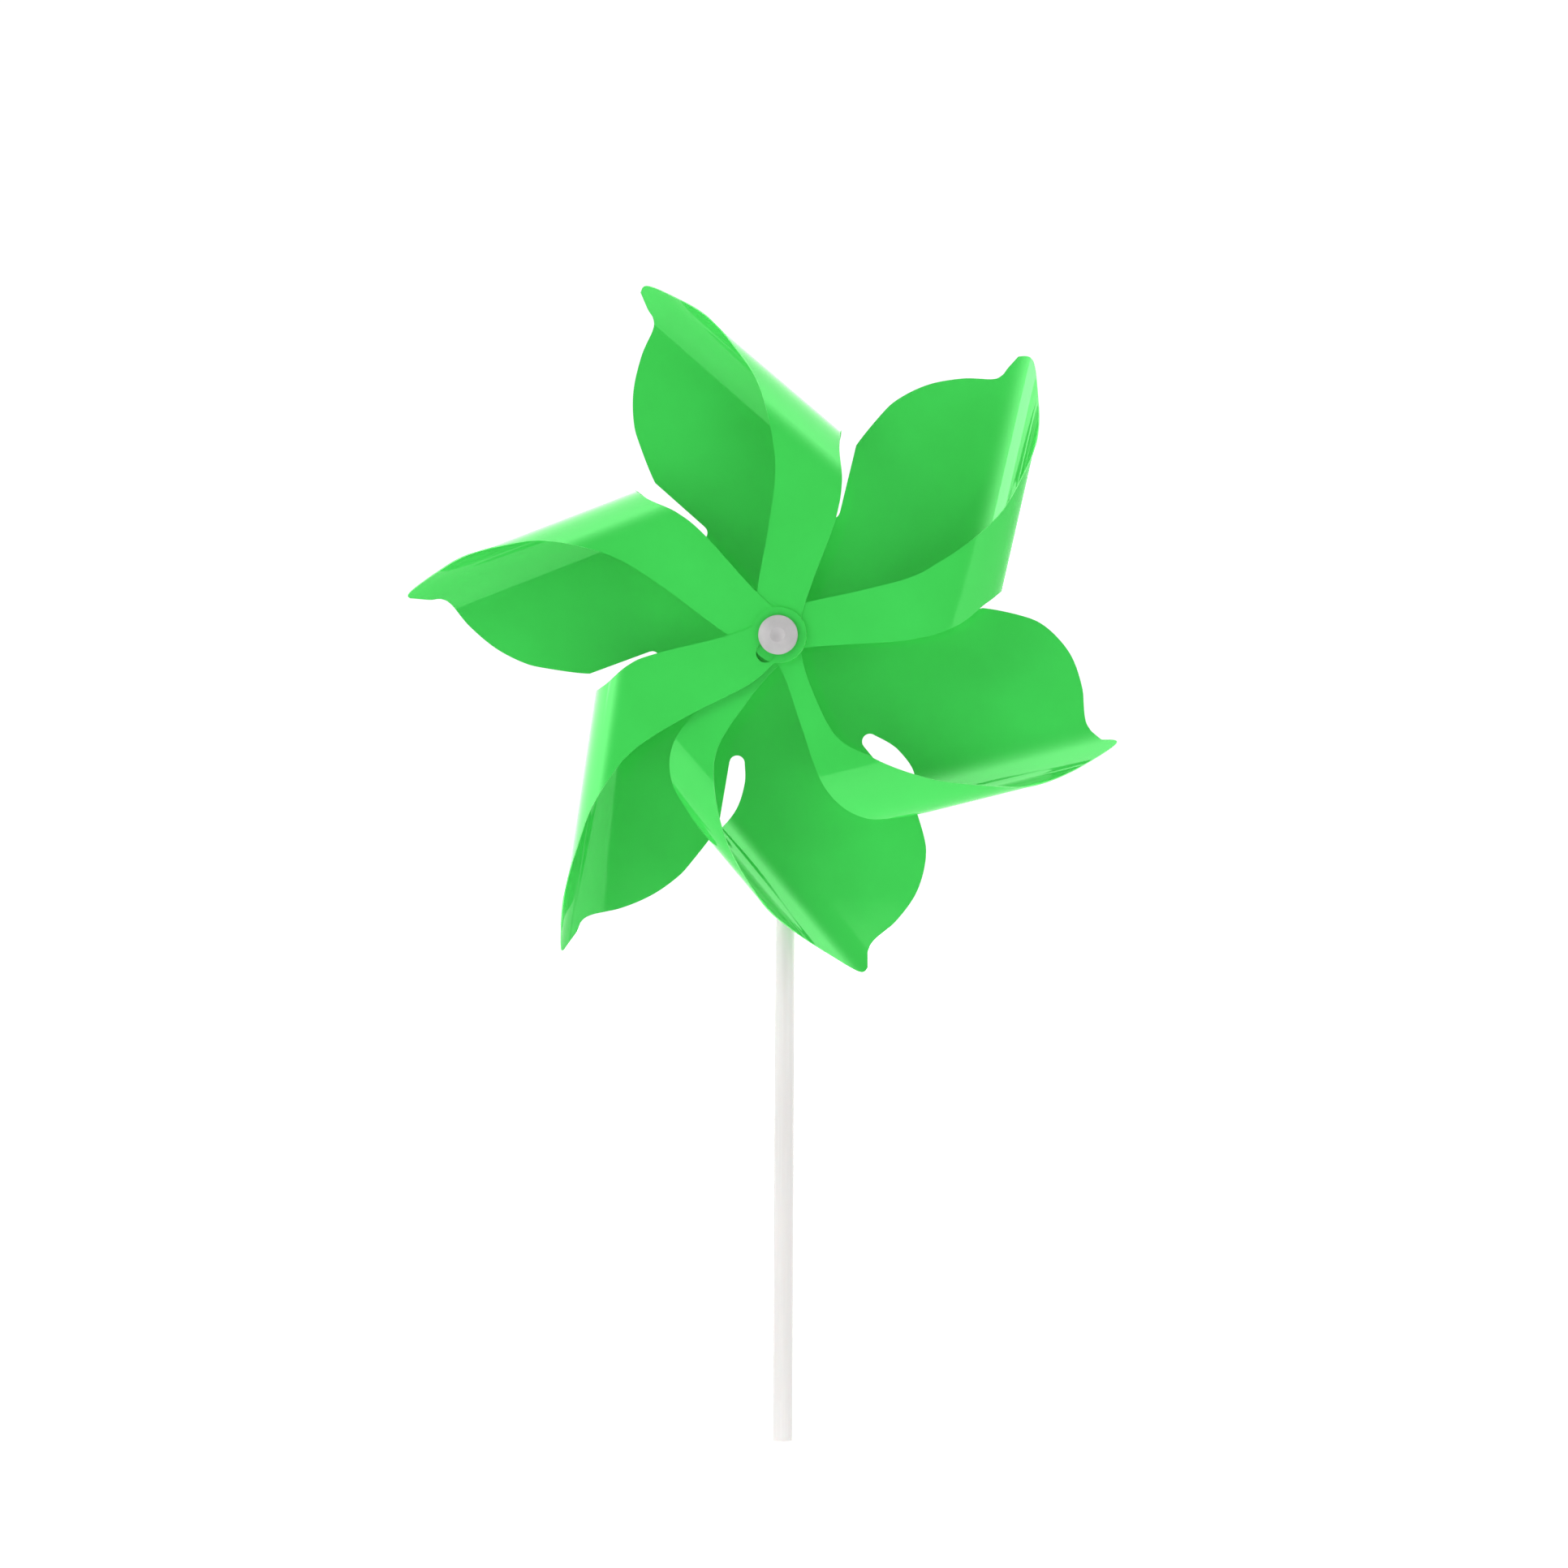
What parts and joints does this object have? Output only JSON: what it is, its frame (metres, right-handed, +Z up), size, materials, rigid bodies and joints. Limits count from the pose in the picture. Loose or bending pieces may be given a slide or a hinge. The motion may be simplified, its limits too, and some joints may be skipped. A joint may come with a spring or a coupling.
{
  "type": "pinwheel",
  "caption": "Toy pinwheel: a wheel of rolled glossy sheet vanes turning on a horizontal pin near the top of a slim round stick.",
  "frame": {"origin": "centre of the stick's lower end", "axes": "+Z up along the stick, -Y the way the wheel faces, +X to the right seen from the front"},
  "size_m": [0.2628, 0.0472, 0.4276],
  "materials": {
    "vane_sheet": "thin glossy green plastic sheet, die cut",
    "stick_plastic": "smooth white extruded tube",
    "cap_plastic": "light grey satin moulded plastic",
    "fitting_plastic": "white satin moulded plastic"
  },
  "bodies": {
    "stand": {"stick": "stick_plastic", "stick_head": "fitting_plastic", "axle_pin": "cap_plastic", "saddle_spacer": "fitting_plastic", "rear_retainer": "cap_plastic", "front_cap": "cap_plastic"},
    "wheel": {"tab_sleeve": "fitting_plastic", "vane_disc": "vane_sheet", "vane_1": "vane_sheet", "vane_2": "vane_sheet", "vane_3": "vane_sheet", "vane_4": "vane_sheet", "vane_5": "vane_sheet", "vane_6": "vane_sheet"}
  },
  "joints": [
    {"name": "wheel_spin", "type": "hinge", "parent": "stand", "child": "wheel", "pos_m": [0, -0.008, 0.298], "axis": [0, -1, 0], "continuous": true}
  ]
}
